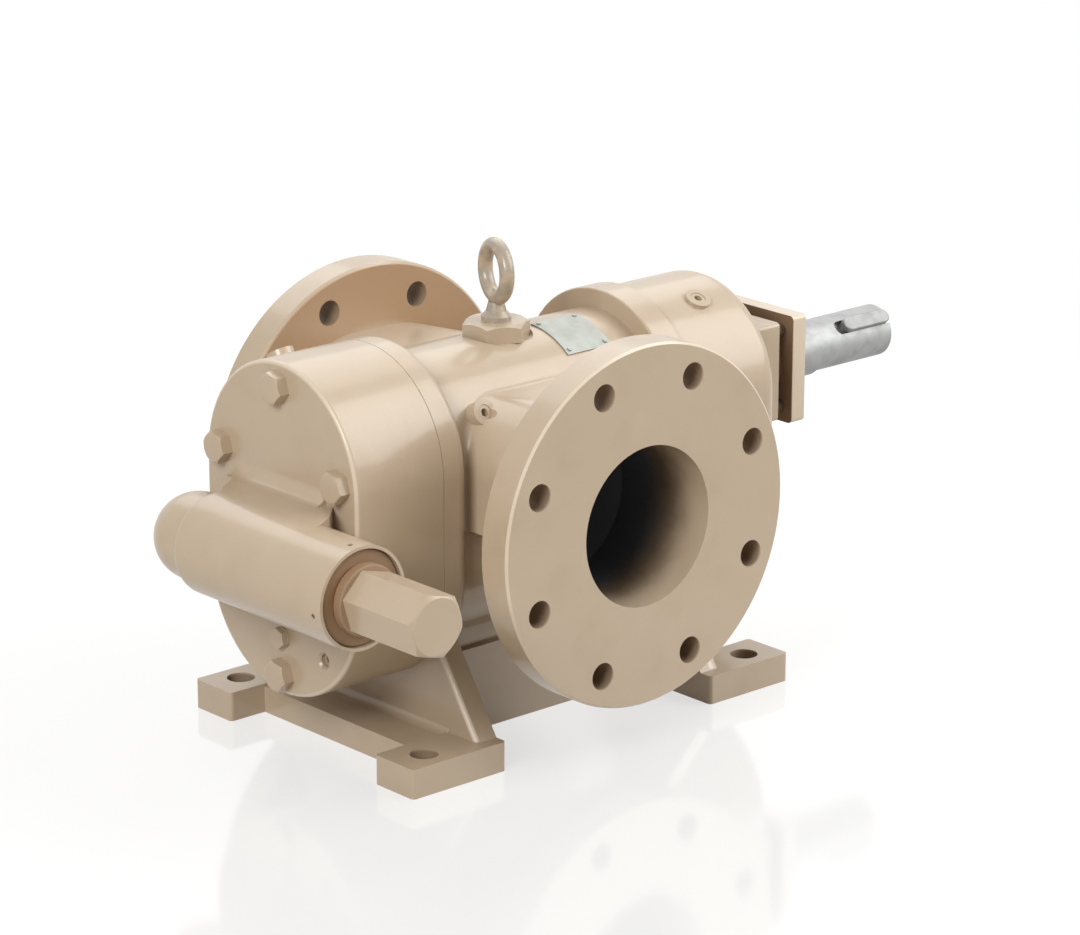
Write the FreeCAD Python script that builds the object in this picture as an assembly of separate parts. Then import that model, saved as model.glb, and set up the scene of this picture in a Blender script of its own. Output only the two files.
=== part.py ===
import FreeCAD, Part
import os
from math import acos, asin, cos, pi, radians, sin, sqrt, tan

# Foot-mounted external gear pump with flanged ports and a built-on relief valve.
# +X runs along the drive shaft to the coupling end, +Z is up.
# The origin is on the floor, in the middle of the foot holes and of the ports.
# All sizes are in millimetres.

V = FreeCAD.Vector

# Shafts and gears
shaft_height = 180.0
gear_teeth = 12
gear_module = 5.5
pressure_angle = 25.0
backlash = 0.30
shaft_dia = 38.0
shaft_end_dia = 35.0
shaft_out = 35.8
shaft_end_length = 68.0
journal_end_gap = 1.0
key_width = 10.0
key_height = 8.0
gear_key_length = 60.0
keyway_length = 51.0
keyway_angle = 44.0
coupling_key_length = 42.0
circlip_width = 1.5
circlip_depth = 1.0
hub_recess = 3.5

# Clearances
running_gap = 0.05
tip_gap = 0.10
free_gap = 0.3
gasket_thickness = 0.5

# Casing between its two end flanges
core_radius = 60.0
core_front_x = -83.0
core_rear_x = 88.0
end_flange = 20.0
cover_radius = 72.5
rear_cover_radius = 69.0
side_plate = 15.0
gauge_x = -59.5
gauge_angle = 28.6
gauge_rise = 8.5
gauge_boss_r = 8.5
gauge_plug_r = 5.0
bypass_y = 42.0
bypass_radius = 7.5

# Ports
port_bore_dia = 101.6
flange_pcd = 190.5
flange_rim = 19.25
flange_thickness = 24.0
flange_face_y = 142.0
flange_holes = 8
suction_hole_dia = 17.3
discharge_hole_dia = 16.8
nut_space = 14.0
neck_wall = 24.2
neck_top_wall = 20.7
neck_shoulder = 57.0
neck_shoulder_in = 18.0
neck_low_wall = 15.2
neck_step_drop = 6.0
neck_blend = 6.0
port_straight_depth = 78.0
port_throat_radius = 22.0

# Feet
foot_spacing_x = 270.0
foot_spacing_y = 180.0
foot_hole_dia = 18.0
foot_thickness = 19.0
foot_end = 23.0
foot_corner = 2.5
foot_side = 17.0
foot_width = 36.0
bar_height = 17.0
bar_set_back = 4.0
web_inset = 1.0
web_thickness = 16.0
web_round = 3.0
web_fillet = 5.0
gusset_slope = 33.7
web_drop = 40.0
pedestal_half = 42.0
pedestal_ledge = 4.0
pedestal_ledge_z = 55.0
pedestal_step = 30.0
pocket_wall = 18.0
pocket_roof = 22.0
rib_half = 6.0

# Covers
front_cover_length = 67.5
rear_cover_length = 76.5
end_round = 12.0
box_half = 33.5
box_length = 34.0
bush_wall = 6.5
front_bush_length = 64.0
rear_bush_length = 36.0
rear_low_bush_length = 56.0
vent_inset = 34.5
vent_angle = 58.0
drain_rise = 37.0
jack_inset = 16.0
jack_angle = 46.0
dowel_r = 4.0
dowel_y = 50.0
dowel_rise = 8.0

# Shaft seal
packing_width = 8.0
packing_rings = 5
lantern_length = 12.0
gland_gap = 9.2
gland_plate = 12.0
gland_half = 36.5
gland_corner = 3.0
gland_screw_offset = 26.0
gland_travel = 5.0
gland_screw_dia = 8.0
gland_screw_head_r = 6.5
gland_screw_head = 8.0
gland_screw_reach = 26.0
flush_offset = 37.5
flush_angle = 63.0

# Cover bolts
bolt_inset = 15.5
bolt_dia = 12.0
bolt_head_flats = 18.0
bolt_head_height = 8.0
side_bolt_angle = 8.0
low_bolt_inset = 13.0
rear_bolt_wall = 4.4
socket_head_r = 9.0
socket_depth = 14.0

# Relief valve in front of the front cover
barrel_ahead = 34.0
barrel_drop = 5.5
barrel_radius = 32.0
barrel_face_y = -119.0
barrel_back_y = 24.0
dome_step = 4.5
dome_reach = 13.5
recess_wall = 2.0
recess_depth = 5.0
valve_bore_radius = 21.0
seat_y = 2.0
seat_length = 12.0
seat_wall = 9.0
spring_wire = 4.0
spring_side_gap = 1.5
spring_turns = 8
cap_flats = 36.0
cap_reach = 67.0
cap_wall = 2.5
nut_flats = 24.0
nut_height = 9.0
cap_turn = -14.0
web_left_y = 44.0
web_right_y = -47.0
web_bottom_z = 118.0
web_cove_radius = 9.0
inlet_step = 3.0
bonnet_thread_step = 2.0
bonnet_flange = 3.0
bonnet_neck = 14.0
bonnet_depth = 23.0
screw_r = 7.0
lock_screw_r = 1.6
lock_screw_length = 6.0
lock_screw_inset = 7.0
poppet_length = 30.0
poppet_nose = 6.0
poppet_wall = 4.0
spring_inset = 53.0
spring_seat_thickness = 6.0

# Lifting eye and plate
eye_x = 2.0
eye_rise = 8.0
eye_ring_radius = 16.5
eye_wire_radius = 4.75
eye_turn = -17.0
eye_shank_r = 5.0
lifting_plug_flats = 38.0
lifting_plug_height = 11.0
lifting_thread_r = 12.0
lifting_thread_length = 13.0
plate_x0 = 29.0
plate_x1 = 66.0
plate_angle0 = 52.0
plate_angle1 = 88.0
plate_thickness = 0.8
plate_gap = 0.1

# Sizes that follow
flange_dia = flange_pcd + 2 * flange_rim
centre_distance = gear_module * gear_teeth
low_shaft_z = shaft_height - centre_distance
port_z = (shaft_height + low_shaft_z) / 2
shaft_r = shaft_dia / 2
stub_r = shaft_end_dia / 2
tip_radius = gear_module * (gear_teeth + 2) / 2
root_radius = gear_module * (gear_teeth - 2.5) / 2
chamber_radius = tip_radius + tip_gap
front_joint_x = core_front_x - end_flange
rear_joint_x = core_rear_x + end_flange
front_cover_x0 = front_joint_x - gasket_thickness
front_face_x = front_cover_x0 - front_cover_length
rear_cover_x0 = rear_joint_x + gasket_thickness
rear_face_x = rear_cover_x0 + rear_cover_length
box_face_x = rear_face_x + box_length
gland_x = box_face_x + gland_gap
shaft_step_x = gland_x + gland_plate + shaft_out
shaft_end_x = shaft_step_x + shaft_end_length
journal_reach = front_bush_length - core_front_x - journal_end_gap
neck_half = port_bore_dia / 2 + neck_wall
neck_top = port_bore_dia / 2 + neck_top_wall
neck_low_radius = port_bore_dia / 2 + neck_low_wall
gauge_seat = core_radius + gauge_rise
pocket_half = pedestal_half - pocket_wall
bolt_radius = cover_radius - bolt_inset
low_bolt_radius = cover_radius - low_bolt_inset
rear_bolt_radius = chamber_radius + bolt_dia / 2 + rear_bolt_wall
vent_x = front_cover_x0 - vent_inset
drain_z = low_shaft_z - cover_radius + drain_rise
jack_y = -(cover_radius - jack_inset) * cos(radians(jack_angle))
jack_z = low_shaft_z - (cover_radius - jack_inset) * sin(radians(jack_angle))
eye_seat_z = shaft_height + core_radius + eye_rise
gear_x0 = core_front_x + side_plate + tip_gap
gear_x1 = core_rear_x - side_plate - tip_gap
bush_radius = shaft_r + bush_wall
packing_radius = shaft_r + packing_width
foot_x = foot_spacing_x / 2
foot_y = foot_spacing_y / 2
flush_x = rear_cover_x0 + flush_offset
stuffing_x0 = flush_x - lantern_length / 2 - packing_width
packing_end_x = stuffing_x0 + packing_width * (packing_rings + 1) + lantern_length
gear_mid = (gear_x0 + gear_x1) / 2
hub_recess_r = shaft_r + 4.5
key_seat = shaft_r - key_height * 0.6
key_floor = stub_r - key_height * 0.62
dowel_places = [(dowel_y, low_shaft_z + dowel_rise), (-dowel_y, low_shaft_z + dowel_rise)]
barrel_x = front_face_x - barrel_ahead
barrel_z = port_z - barrel_drop
dome_radius = barrel_radius - dome_step
dome_centre_y = barrel_back_y + dome_reach
recess_radius = barrel_radius - recess_wall
bonnet_thread_r = valve_bore_radius + bonnet_thread_step
inlet_radius = valve_bore_radius - inlet_step
seat_hole_radius = valve_bore_radius - seat_wall
spring_radius = valve_bore_radius - poppet_wall - spring_side_gap - spring_wire / 2
spring_y0 = barrel_face_y + spring_inset
spring_y1 = seat_y - free_gap - 7
cap_end_y = barrel_face_y - cap_reach
cap_bore_r = cap_flats / 2 - cap_wall


def place(axis, t, u, v):
    """Point at t along the axis; u and v are the other two coordinates, in X, Y, Z order."""
    return {"x": V(t, u, v), "y": V(u, t, v), "z": V(u, v, t)}[axis]


AXES = {"x": V(1, 0, 0), "y": V(0, 1, 0), "z": V(0, 0, 1)}


def rod(axis, radius, t0, t1, u=0.0, v=0.0):
    return Part.makeCylinder(radius, t1 - t0, place(axis, t0, u, v), AXES[axis])


def box(x0, x1, y0, y1, z0, z1):
    return Part.makeBox(x1 - x0, y1 - y0, z1 - z0, V(x0, y0, z0))


def turned(axis, outline, u=0.0, v=0.0):
    """Solid of revolution; outline is a closed list of (place along the axis, radius)."""
    if axis == "z":
        points = [V(u + r, v, t) for t, r in outline]
    elif axis == "x":
        points = [V(t, u, v + r) for t, r in outline]
    else:
        points = [V(u, t, v + r) for t, r in outline]
    face = Part.Face(Part.makePolygon(points + points[:1]))
    return face.revolve(place(axis, 0, u, v), AXES[axis], 360)


def ring(axis, outer, inner, t0, t1, u=0.0, v=0.0):
    return turned(axis, [(t0, inner), (t1, inner), (t1, outer), (t0, outer)], u, v)


def hexagon(axis, flats, t0, t1, u=0.0, v=0.0, turn=0.0, crown=0):
    """Hexagonal prism; crown is +1 or -1 for the end whose corners are chamfered, 0 for none."""
    corner = flats / 2 / cos(radians(30))
    corners = []
    for step in range(6):
        a = radians(turn + 60 * step)
        corners.append(place(axis, t0, u + corner * cos(a), v + corner * sin(a)))
    prism = Part.Face(Part.makePolygon(corners + corners[:1])).extrude(AXES[axis] * (t1 - t0))
    if crown:
        drop = (corner - flats / 2 * 0.96) * tan(radians(30))
        top, bottom = (t1, t0) if crown > 0 else (t0, t1)
        outline = [(bottom, 0), (bottom, corner + 1), (top - crown * drop, corner),
                   (top, flats / 2 * 0.96), (top, 0)]
        prism = prism.common(turned(axis, outline, u, v))
    return prism


def fused(shapes):
    return shapes[0].multiFuse(shapes[1:]).removeSplitter()


def racetrack(radius, x0, x1):
    """Slot-shaped prism round both shaft axes."""
    top, low = shaft_height, low_shaft_z
    edges = [
        Part.makeLine(V(x0, -radius, low), V(x0, -radius, top)),
        Part.Arc(V(x0, -radius, top), V(x0, 0, top + radius), V(x0, radius, top)).toShape(),
        Part.makeLine(V(x0, radius, top), V(x0, radius, low)),
        Part.Arc(V(x0, radius, low), V(x0, 0, low - radius), V(x0, -radius, low)).toShape(),
    ]
    return Part.Face(Part.Wire(edges)).extrude(V(x1 - x0, 0, 0))


def figure_eight(radius, x0, x1):
    """Prism of two overlapping circles, one round each shaft axis."""
    waist = sqrt(radius ** 2 - (centre_distance / 2) ** 2)
    top = Part.Arc(V(x0, -waist, port_z), V(x0, 0, shaft_height + radius), V(x0, waist, port_z))
    low = Part.Arc(V(x0, waist, port_z), V(x0, 0, low_shaft_z - radius), V(x0, -waist, port_z))
    return Part.Face(Part.Wire([top.toShape(), low.toShape()])).extrude(V(x1 - x0, 0, 0))


def edges_at(shape, x):
    """Edges that lie in the plane at this x."""
    return [e for e in shape.Edges if abs(e.BoundBox.XMin - x) < 1e-4 and abs(e.BoundBox.XMax - x) < 1e-4]


def radial_rod(radius, x, angle, r0, r1, side=-1):
    """Cylinder pointing away from the drive shaft; angle is above the horizontal, side is the sign of y."""
    a = radians(angle)
    way = V(0, side * cos(a), sin(a))
    return Part.makeCylinder(radius, r1 - r0, V(x, 0, shaft_height) + way * r0, way)


def save(node, shape):
    shape.exportStep("parts/" + node + ".step")


def bolt_pattern(radius, low_radius):
    """Places of four cover bolts as (y, z): top, both sides and bottom."""
    a = radians(side_bolt_angle)
    side_y = radius * cos(a)
    side_z = shaft_height + radius * sin(a)
    return [(0, shaft_height + radius), (side_y, side_z), (-side_y, side_z), (0, low_shaft_z - low_radius)]


def front_bolts():
    return bolt_pattern(bolt_radius, low_bolt_radius)


def rear_bolts():
    return bolt_pattern(rear_bolt_radius, rear_bolt_radius)


# Casing
def neck_section(y, shoulder):
    """Outline across the upper part of a neck: flat top, rounded shoulders and upright sides."""
    half, low, top = neck_half, port_z - neck_step_drop, port_z + neck_top
    flat, side = half - shoulder, top - shoulder
    x, z = flat + shoulder * cos(radians(45)), side + shoulder * sin(radians(45))
    edges = [
        Part.makeLine(V(-half, y, low), V(half, y, low)),
        Part.makeLine(V(half, y, low), V(half, y, side)),
        Part.Arc(V(half, y, side), V(x, y, z), V(flat, y, top)).toShape(),
        Part.makeLine(V(flat, y, top), V(-flat, y, top)),
        Part.Arc(V(-flat, y, top), V(-x, y, z), V(-half, y, side)).toShape(),
        Part.makeLine(V(-half, y, side), V(-half, y, low)),
    ]
    return Part.Wire(edges)


def port_neck(side):
    """Neck and flange on one side; above the step it is wider and loses its corners towards the flange."""
    back_y = flange_face_y - flange_thickness
    sections = [neck_section(0, neck_shoulder_in), neck_section(side * back_y, neck_shoulder)]
    neck = Part.makeLoft(sections, True, True)
    ends = sorted((0, side * back_y))
    low = rod("y", neck_low_radius, ends[0], ends[1], 0, port_z)
    rim = flange_dia / 2
    disc = turned("y", [(side * back_y, 0), (side * back_y, rim - 2), (side * (back_y + 2), rim),
                        (side * (flange_face_y - 1.5), rim), (side * flange_face_y, rim - 1.5),
                        (side * flange_face_y, 0)], 0, port_z)
    return [neck, low, disc]


def flange_hole_cuts(side):
    radius = (suction_hole_dia if side < 0 else discharge_hole_dia) / 2
    cuts = []
    for step in range(flange_holes):
        a = 2 * pi * (step + 0.5) / flange_holes
        x, z = flange_pcd / 2 * cos(a), port_z + flange_pcd / 2 * sin(a)
        ends = sorted((side * (flange_face_y + 1), side * (flange_face_y - flange_thickness - nut_space)))
        cuts.append(rod("y", radius, ends[0], ends[1], x, z))
    return cuts


def port_cut(side):
    """Straight bore from the flange, then a taper that breaks into the gear chamber."""
    bore = port_bore_dia / 2
    turn = flange_face_y - port_straight_depth
    return turned("y", [(side * (flange_face_y + 1), 0), (side * (flange_face_y + 1), bore),
                        (side * turn, bore), (side * 10, port_throat_radius), (side * 10, 0)], 0, port_z)


def web_faces(sx):
    """Inner and outer face of the web under one end flange, as x."""
    inner = core_rear_x + web_inset if sx > 0 else core_front_x - web_inset
    return inner, inner + sx * web_thickness


def web_cove(sx):
    """Concave fillet along the foot of a web, on top of the end bar."""
    face_x = web_faces(sx)[1]
    reach = foot_y - foot_side
    top_z = bar_height + web_fillet
    ends = sorted((face_x - sx, face_x + sx * web_fillet))
    cove = box(ends[0], ends[1], -reach, reach, bar_height - 3, top_z)
    return cove.cut(rod("y", web_fillet, -reach - 1, reach + 1, face_x + sx * web_fillet, top_z))


def base_parts():
    """Feet, end bars, gusseted webs and the pedestal under the casing."""
    parts = []
    for sx in (-1, 1):
        web_x0, web_x1 = web_faces(sx)
        for sy in (-1, 1):
            xs = sorted((web_x0, sx * (foot_x + foot_end)))
            ys = sorted((sy * (foot_y + foot_side), sy * (foot_y + foot_side - foot_width)))
            foot = box(xs[0], xs[1], ys[0], ys[1], 0, foot_thickness)
            upright = [e for e in foot.Edges if abs(e.BoundBox.ZLength - foot_thickness) < 1e-4]
            parts.append(foot.makeFillet(foot_corner, upright))
        bar = sorted((sx * (foot_x - bar_set_back), web_x0 + sx))
        inside = foot_y + foot_side - foot_width
        parts.append(box(bar[0], bar[1], -inside - 4, inside + 4, 0, bar_height))
        web = sorted((web_x0, web_x1))
        parts.append(web_cove(sx))
        foot_edge = foot_y + 8.0
        rise = port_z - foot_thickness - web_drop
        run = rise * tan(radians(gusset_slope))
        outline = [V(web[0], y, z) for y, z in (
            (-foot_edge, 0), (-foot_edge, foot_thickness), (-foot_edge + run, foot_thickness + rise),
            (foot_edge - run, foot_thickness + rise), (foot_edge, foot_thickness), (foot_edge, 0))]
        plate = Part.Face(Part.makePolygon(outline + outline[:1])).extrude(V(web_thickness, 0, 0))
        slanted = [e for e in edges_at(plate, web_faces(sx)[1]) if abs(e.BoundBox.ZLength - rise) < 1e-4]
        parts.append(plate.makeFillet(web_round, slanted))
    x0, x1 = web_faces(-1)[0] - 1, web_faces(1)[0] + 1
    narrow = pedestal_half - pedestal_ledge
    parts.append(box(x0, x1, -pedestal_half, pedestal_half, 0, pedestal_ledge_z))
    parts.append(box(x0, x1, -narrow, narrow, 0, low_shaft_z - pedestal_step))
    return parts


def neck_edges(body):
    """Upper edges where the port necks meet the round of the casing."""
    edges = []
    for edge in body.Edges:
        b = edge.BoundBox
        inside = b.XMin > -neck_half - 1 and b.XMax < neck_half + 1 and b.XLength > 1
        ends = [sqrt(p.Point.y ** 2 + (p.Point.z - shaft_height) ** 2) for p in edge.Vertexes]
        if inside and b.ZMin > shaft_height - 0.01 and all(abs(r - core_radius) < 1e-3 for r in ends):
            edges.append(edge)
    return edges


def pump_casing():
    solids = [racetrack(core_radius, core_front_x - 1, core_rear_x + 1)]
    front = racetrack(cover_radius, front_joint_x, core_front_x)
    front = front.makeFillet(8.0, edges_at(front, core_front_x))
    rear = racetrack(cover_radius, core_rear_x, rear_joint_x)
    rear = rear.makeFillet(1.5, edges_at(rear, core_rear_x))
    solids += [front, rear]
    for side in (-1, 1):
        solids += port_neck(side)
    solids += base_parts()
    body = fused(solids)
    body = body.makeFillet(neck_blend, neck_edges(body))

    cuts = [figure_eight(chamber_radius, front_joint_x - 1, rear_joint_x + 1)]
    for side in (-1, 1):
        cuts.append(port_cut(side))
        cuts += flange_hole_cuts(side)
        cuts.append(rod("x", bypass_radius, front_joint_x - 1, -30, side * bypass_y, port_z))
        for sx in (-1, 1):
            cuts.append(rod("z", foot_hole_dia / 2, -1, foot_thickness + 1, sx * foot_x, side * foot_y))
    for y, z in front_bolts():
        cuts.append(rod("x", bolt_dia / 2, front_joint_x - 1, core_front_x - 2, y, z))
    for y, z in rear_bolts():
        cuts.append(rod("x", bolt_dia / 2, core_rear_x + 2, rear_joint_x + 1, y, z))
    for y, z in dowel_places:
        cuts.append(rod("x", dowel_r, front_joint_x - 1, front_joint_x + 12, y, z))
        cuts.append(rod("x", dowel_r, rear_joint_x - 12, rear_joint_x + 1, y, z))
    for x0, x1 in ((core_front_x + 11, -rib_half), (rib_half, core_rear_x - 11)):
        cuts.append(box(x0, x1, -pocket_half, pocket_half, -1, pedestal_ledge_z - pocket_roof))
    seat_z = eye_seat_z - lifting_plug_height
    cuts.append(rod("z", lifting_plug_flats / 2 / cos(radians(30)) + 1, seat_z, eye_seat_z, eye_x, 0))
    cuts.append(rod("z", lifting_thread_r, seat_z - lifting_thread_length, seat_z + 1, eye_x, 0))
    cuts.append(radial_rod(gauge_plug_r, gauge_x, gauge_angle, gauge_seat - 15, gauge_seat + 6))
    body = body.fuse(radial_rod(gauge_boss_r, gauge_x, gauge_angle, gauge_seat - 9, gauge_seat))
    return body.cut(Part.Compound(cuts)).removeSplitter()


# Covers
def passage(y_in, y_out):
    """Cored passage from the casing joint to the relief valve barrel."""
    start = V(core_front_x, y_in, port_z)
    end = V(barrel_x, y_out, barrel_z)
    way = end - start
    back = V(way).normalize() * 2
    return Part.makeCylinder(bypass_radius, way.Length, start - back, way)


def relief_barrel():
    """Outside of the relief valve: barrel, domed end and the flat-topped web that joins it to the cover."""
    barrel = rod("y", barrel_radius, barrel_face_y, barrel_back_y, barrel_x, barrel_z)
    back_edges = [e for e in barrel.Edges if abs(e.BoundBox.YMin - barrel_back_y) < 1e-4]
    barrel = barrel.makeFillet(6.0, back_edges)
    neck = rod("y", dome_radius, barrel_back_y - 10, dome_centre_y, barrel_x, barrel_z)
    dome = Part.makeSphere(dome_radius, V(barrel_x, dome_centre_y, barrel_z))
    top_z = barrel_z + barrel_radius
    inner_x = front_face_x + 3
    plan = [(barrel_x, barrel_back_y - 6), (inner_x, web_left_y), (inner_x, web_right_y),
            (front_face_x - 14, web_right_y - 17), (barrel_x, web_right_y - 29)]
    outline = [V(x, y, web_bottom_z) for x, y in plan]
    web = Part.Face(Part.makePolygon(outline + outline[:1])).extrude(V(0, 0, top_z - web_bottom_z))
    r = web_cove_radius
    end_y = web_right_y + 3
    cove = box(front_face_x - r, front_face_x + 1, end_y, web_left_y - 2, top_z - 1, top_z + r)
    cove = cove.cut(rod("y", r, end_y - 1, web_left_y, front_face_x - r, top_z + r))
    return [barrel, neck, dome, web, cove]


def barrel_cuts():
    x, z = barrel_x, barrel_z
    plug_depth = bonnet_depth + 1
    return [
        rod("y", recess_radius, barrel_face_y - 1, barrel_face_y + recess_depth, x, z),
        rod("y", bonnet_thread_r, barrel_face_y, barrel_face_y + plug_depth, x, z),
        rod("y", valve_bore_radius, barrel_face_y, seat_y + seat_length, x, z),
        rod("y", inlet_radius, seat_y, dome_centre_y, x, z),
        Part.makeSphere(inlet_radius, V(x, dome_centre_y, z)),
    ]


def front_cover():
    plate = racetrack(cover_radius, front_face_x, front_cover_x0)
    plate = plate.makeFillet(2.5, edges_at(plate, front_face_x))
    spigot = figure_eight(chamber_radius - running_gap, front_cover_x0 - 1, core_front_x)
    boss = radial_rod(gauge_boss_r, vent_x, vent_angle, cover_radius - 8, cover_radius + 4, side=1)
    body = fused([plate, spigot, boss] + relief_barrel())
    cuts = barrel_cuts()
    for z in (shaft_height, low_shaft_z):
        cuts.append(rod("x", bush_radius, core_front_x - front_bush_length - 4, core_front_x + 1, 0, z))
    for y, z in front_bolts():
        cuts.append(rod("x", bolt_dia / 2 + free_gap, front_face_x - 1, front_cover_x0 + 1, y, z))
        cuts.append(rod("x", bolt_head_flats / 2 + 2.5, front_face_x - 10, front_face_x, y, z))
    for y, z in dowel_places:
        cuts.append(rod("x", dowel_r, front_cover_x0 - 12, front_cover_x0 + 1, y, z))
    cuts.append(passage(bypass_y, 27.0))
    cuts.append(passage(-bypass_y, -bypass_y + 2))
    cuts.append(rod("x", 4.0, front_face_x - 1, front_face_x + 14, 0, drain_z))
    cuts.append(rod("x", 4.0, front_face_x - 1, front_face_x + 30, jack_y, jack_z))
    cuts.append(turned("x", [(front_face_x - 1, 0), (front_face_x - 1, 6.5), (front_face_x + 1.5, 4),
                             (front_face_x + 1.5, 0)], jack_y, jack_z))
    cuts.append(radial_rod(gauge_plug_r, vent_x, vent_angle, cover_radius - 12, cover_radius + 9, side=1))
    for spot in lock_screw_spots():
        cuts.append(spot)
    return body.cut(Part.Compound(cuts)).removeSplitter()


def lock_screw_spots(radius=lock_screw_r, top=1.0):
    """Two small radial screws near the barrel's mouth that hold the bonnet."""
    out = []
    for angle in (96.0, 190.0):
        a = radians(angle)
        way = V(cos(a), 0, sin(a))
        inner = V(barrel_x, barrel_face_y + lock_screw_inset, barrel_z)
        inner = inner + way * (barrel_radius - lock_screw_length)
        out.append(Part.makeCylinder(radius, lock_screw_length + top, inner, way))
    return out


def rear_cover():
    shell = racetrack(rear_cover_radius, rear_cover_x0, rear_face_x)
    shell = shell.makeFillet(end_round, edges_at(shell, rear_face_x))
    spigot = figure_eight(chamber_radius - running_gap, core_rear_x, rear_cover_x0 + 1)
    low, high = shaft_height - box_half, shaft_height + box_half
    block = box(rear_face_x - 20, box_face_x, -box_half, box_half, low, high)
    long_edges = [e for e in block.Edges if abs(e.BoundBox.XLength - box_length - 20) < 1e-4]
    block = block.makeFillet(3.0, long_edges)
    boss_top = rear_cover_radius + 2
    boss = radial_rod(gauge_boss_r, flush_x, flush_angle, boss_top - 10, boss_top)
    body = fused([shell, spigot, block, boss])
    cuts = [
        rod("x", bush_radius, core_rear_x - 1, core_rear_x + rear_bush_length + 1, 0, shaft_height),
        rod("x", bush_radius, core_rear_x - 1, core_rear_x + rear_low_bush_length + 6, 0, low_shaft_z),
        rod("x", shaft_r + 0.5, core_rear_x, stuffing_x0 + 1, 0, shaft_height),
        rod("x", packing_radius, stuffing_x0, box_face_x + 1, 0, shaft_height),
        radial_rod(3.0, flush_x, flush_angle, 0, boss_top + 2),
        radial_rod(gauge_plug_r, flush_x, flush_angle, boss_top - 14, boss_top + 7),
    ]
    for y, z in rear_bolts():
        cuts.append(rod("x", bolt_dia / 2 + free_gap, rear_cover_x0 - 1, rear_face_x + 1, y, z))
        cuts.append(rod("x", socket_head_r + free_gap, rear_face_x - socket_depth, rear_face_x + 1, y, z))
    for y, z in dowel_places:
        cuts.append(rod("x", dowel_r, rear_cover_x0 - 1, rear_cover_x0 + 12, y, z))
    for y, z in gland_screw_places():
        tapped = gland_screw_dia / 2 + free_gap
        cuts.append(rod("x", tapped, box_face_x - gland_screw_reach, box_face_x + 1, y, z))
    return body.cut(Part.Compound(cuts)).removeSplitter()


def gasket(x0, radius, inner, bolts):
    """Thin joint ring between an end flange and its cover."""
    sheet = racetrack(radius - 0.5, x0, x0 + gasket_thickness)
    cuts = [inner]
    for y, z in bolts:
        cuts.append(rod("x", bolt_dia / 2 + free_gap, x0 - 1, x0 + 1, y, z))
    for y, z in dowel_places:
        cuts.append(rod("x", dowel_r + 0.2, x0 - 1, x0 + 1, y, z))
    if x0 < 0:
        for side in (-1, 1):
            cuts.append(rod("x", bypass_radius + 0.5, x0 - 1, x0 + 1, side * bypass_y, port_z))
    return sheet.cut(Part.Compound(cuts))


# Gears, shafts and their bearings
def gear_outline(x, turn):
    """Closed involute gear outline at this x, one tooth centred on the angle turn."""
    pitch = gear_module * gear_teeth / 2
    base = pitch * cos(radians(pressure_angle))
    thickness = pi * gear_module / 2 - backlash / 2
    inv = tan(radians(pressure_angle)) - radians(pressure_angle)

    def half(r):
        a = acos(min(1.0, base / r))
        return thickness / 2 / pitch + inv - (tan(a) - a)

    def at(r, a):
        return V(x, r * cos(a), r * sin(a))

    steps = 5
    radii = [base + (tip_radius - base) * k / steps for k in range(steps + 1)]
    edges = []
    for tooth in range(gear_teeth):
        mid = radians(turn) + 2 * pi * tooth / gear_teeth
        rising = [at(r, mid - half(r)) for r in radii]
        falling = [at(r, mid + half(r)) for r in reversed(radii)]
        root_in, root_out = at(root_radius, mid - half(base)), at(root_radius, mid + half(base))
        next_root = at(root_radius, mid + 2 * pi / gear_teeth - half(base))
        for points in (rising, falling):
            curve = Part.BSplineCurve()
            curve.interpolate(points)
            if points is rising:
                edges.append(Part.makeLine(root_in, points[0]))
                edges.append(curve.toShape())
                edges.append(Part.Arc(points[-1], at(tip_radius, mid), falling[0]).toShape())
            else:
                edges.append(curve.toShape())
                edges.append(Part.makeLine(points[-1], root_out))
        edges.append(Part.Arc(root_out, at(root_radius, mid + pi / gear_teeth), next_root).toShape())
    return Part.Wire(edges)


def gear(height, turn, key_angle):
    """Spur gear on its shaft axis, with keyway and a recess at each end for the retaining ring."""
    solid = Part.Face(gear_outline(gear_x0, turn)).extrude(V(gear_x1 - gear_x0, 0, 0))
    slot = box(gear_x0 - 1, gear_x1 + 1, 0, shaft_r + key_height * 0.42, -key_width / 2, key_width / 2)
    slot.rotate(V(0, 0, 0), V(1, 0, 0), key_angle)
    cuts = [
        rod("x", shaft_r, gear_x0 - 1, gear_x1 + 1),
        slot,
        rod("x", hub_recess_r, gear_x0 - 1, gear_x0 + hub_recess),
        rod("x", hub_recess_r, gear_x1 - hub_recess, gear_x1 + 1),
    ]
    solid = solid.cut(Part.Compound(cuts))
    solid.translate(V(0, 0, height))
    return solid


def gear_key(height, key_angle):
    """Round-ended parallel key between shaft and gear."""
    half = gear_key_length / 2 - key_width / 2
    low, high = key_seat, key_seat + key_height
    bar = box(gear_mid - half, gear_mid + half, low, high, -key_width / 2, key_width / 2)
    ends = [rod("y", key_width / 2, low, high, gear_mid + s * half, 0) for s in (-1, 1)]
    key = fused([bar] + ends)
    key.rotate(V(0, 0, 0), V(1, 0, 0), key_angle)
    key.translate(V(0, 0, height))
    return key


def shaft_body(x0, x1):
    """Plain ground shaft with a chamfer at each end."""
    edge = 1.5
    r = shaft_r
    return turned("x", [(x0, 0), (x0, r - edge), (x0 + edge, r), (x1 - edge, r), (x1, r - edge), (x1, 0)])


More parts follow.
